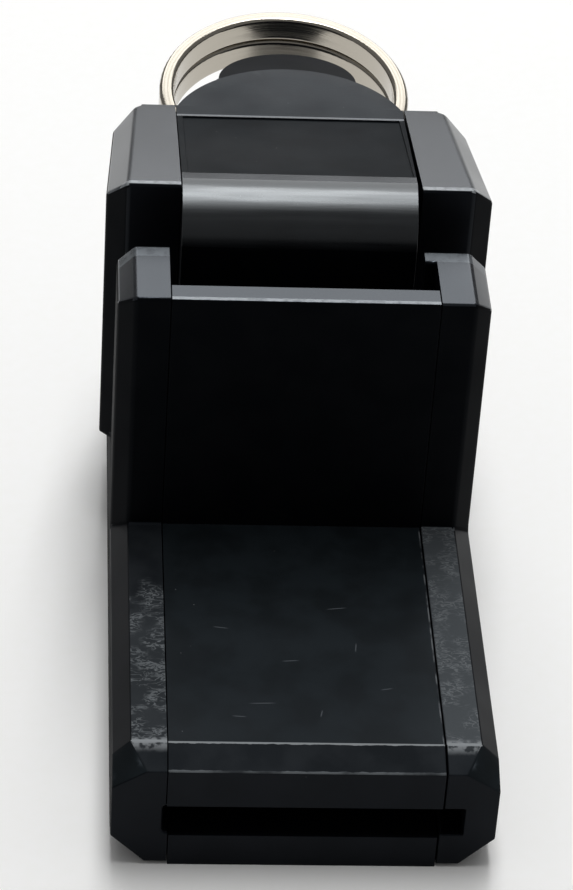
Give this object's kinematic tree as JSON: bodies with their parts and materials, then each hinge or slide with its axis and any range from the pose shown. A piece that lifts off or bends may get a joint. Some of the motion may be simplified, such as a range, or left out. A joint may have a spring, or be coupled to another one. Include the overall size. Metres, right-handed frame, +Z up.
{
  "type": "training whistle",
  "caption": "Pealess training whistle with a flat bite mouthpiece, an upright front wall, a rounded nose block and a split ring held in an eye at the back.",
  "frame": {"origin": "middle of the flat underside, on the resting plane", "axes": "+Z up, -Y towards the mouthpiece face, +Y towards the split ring, +X to the right as seen from the mouthpiece end"},
  "size_m": [0.0222, 0.0553, 0.0255],
  "materials": {
    "moulded_plastic": "black injection-moulded plastic, semi-gloss, scuffed on the edges of the mouthpiece",
    "plated_wire": "bright nickel-plated spring steel"
  },
  "bodies": {
    "whistle": {"mouthpiece_roof": "moulded_plastic", "mouthpiece_floor": "moulded_plastic", "chamber_block": "moulded_plastic", "right_shell": "moulded_plastic", "left_shell": "moulded_plastic"},
    "ring": {"split_ring": "plated_wire"}
  },
  "joints": [
    {"name": "ring_lift", "type": "hinge", "parent": "whistle", "child": "ring", "pos_m": [0, 0.0221, 0.0177], "axis": [1, 0, 0], "range_deg": [0, 12]}
  ]
}
